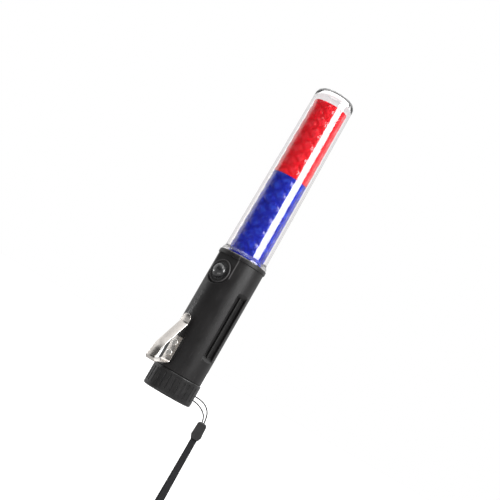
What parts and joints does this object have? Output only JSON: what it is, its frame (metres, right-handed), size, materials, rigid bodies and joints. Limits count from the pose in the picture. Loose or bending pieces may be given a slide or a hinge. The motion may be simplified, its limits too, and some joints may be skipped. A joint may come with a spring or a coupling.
{
  "type": "traffic baton light",
  "caption": "Hand-held signal baton: black handle with push button, belt clip and wrist strap, and a clear lamp tube over a blue and a red sleeve.",
  "frame": {"origin": "on the baton's axis, 55 mm above the butt, in the middle of the hand's grip", "axes": "+Z along the baton towards the lamp, -Y out through the push button and the belt clip"},
  "size_m": [0.0575, 0.0742, 0.4018],
  "materials": {
    "black_plastic": "satin moulded ABS",
    "cap_plastic": "satin moulded ABS, a little glossier at the flutes",
    "grey_plastic": "moulded ABS",
    "white_plastic": "moulded polystyrene",
    "clear_plastic": "polished clear polycarbonate",
    "blue_sleeve": "tinted prismatic plastic",
    "red_sleeve": "tinted prismatic plastic",
    "button_rubber": "smooth silicone rubber",
    "seal_rubber": "soft rubber",
    "circuit_board": "green solder mask",
    "led_package": "white package with yellow encapsulant",
    "black_epoxy": "moulded epoxy",
    "brass": "plain stamped brass",
    "spring_steel": "drawn wire",
    "zinc_steel": "zinc plated",
    "clip_steel": "nickel plated and polished",
    "rivet_steel": "nickel plated",
    "cell_wrap": "printed can with no marks",
    "wire_red": "vinyl insulation",
    "wire_black": "vinyl insulation",
    "cord_nylon": "braided nylon",
    "crimp_plastic": "moulded plastic",
    "webbing": "woven nylon webbing"
  },
  "bodies": {
    "handle": {"handle_shell": "black_plastic", "lamp_tube": "clear_plastic", "lamp_gasket": "seal_rubber", "lamp_base": "grey_plastic", "base_screws": "zinc_steel", "blue_sleeve": "blue_sleeve", "red_sleeve": "red_sleeve", "sleeve_cap": "white_plastic", "led_board": "circuit_board", "blue_leds": "led_package", "red_leds": "led_package", "led_resistors": "black_epoxy", "led_wires": "wire_red", "button_bezel": "black_plastic", "switch_case": "black_epoxy", "control_board": "circuit_board", "board_screws": "zinc_steel", "control_chip": "black_epoxy", "bulkhead": "grey_plastic", "front_contact": "brass", "power_wires": "wire_black", "battery_carrier": "grey_plastic", "batteries": "cell_wrap", "cell_springs": "spring_steel", "cell_plates": "brass", "return_strip": "brass", "clip_anchor": "clip_steel", "clip_rivets": "rivet_steel"},
    "button": {"push_button": "button_rubber"},
    "plunger": {"switch_plunger": "black_epoxy"},
    "seal": {"cap_gasket": "seal_rubber"},
    "cap": {"end_cap": "cap_plastic", "lanyard_pin": "zinc_steel", "tail_contact": "brass", "tail_spring": "spring_steel", "lanyard_cord": "cord_nylon", "strap_crimp": "crimp_plastic", "wrist_strap": "webbing"},
    "clip": {"clip_leg": "clip_steel"}
  },
  "joints": [
    {"name": "button_press", "type": "slide", "parent": "handle", "child": "button", "axis": [0, 1, 0], "range_m": [0, 0.001], "stiffness_N_per_m": 800},
    {"name": "plunger_press", "type": "slide", "parent": "handle", "child": "plunger", "axis": [0, 1, 0], "range_m": [0, 0.0003]},
    {"name": "cap_slide", "type": "slide", "parent": "handle", "child": "seal", "axis": [0, 0, -1], "range_m": [0, 0.0045]},
    {"name": "cap_turn", "type": "hinge", "parent": "seal", "child": "cap", "pos_m": [0, 0, 0], "axis": [0, 0, -1], "range_deg": [0, 540]},
    {"name": "clip_open", "type": "hinge", "parent": "handle", "child": "clip", "pos_m": [0, -0.03605, -0.03195], "axis": [1, 0, 0], "range_deg": [0, 10], "stiffness_Nm_per_rad": 1}
  ],
  "couplings": [
    {"joint": "plunger_press", "follows": "button_press", "ratio": 0.3},
    {"joint": "cap_turn", "follows": "cap_slide", "rad_per_m": 2094.4}
  ]
}
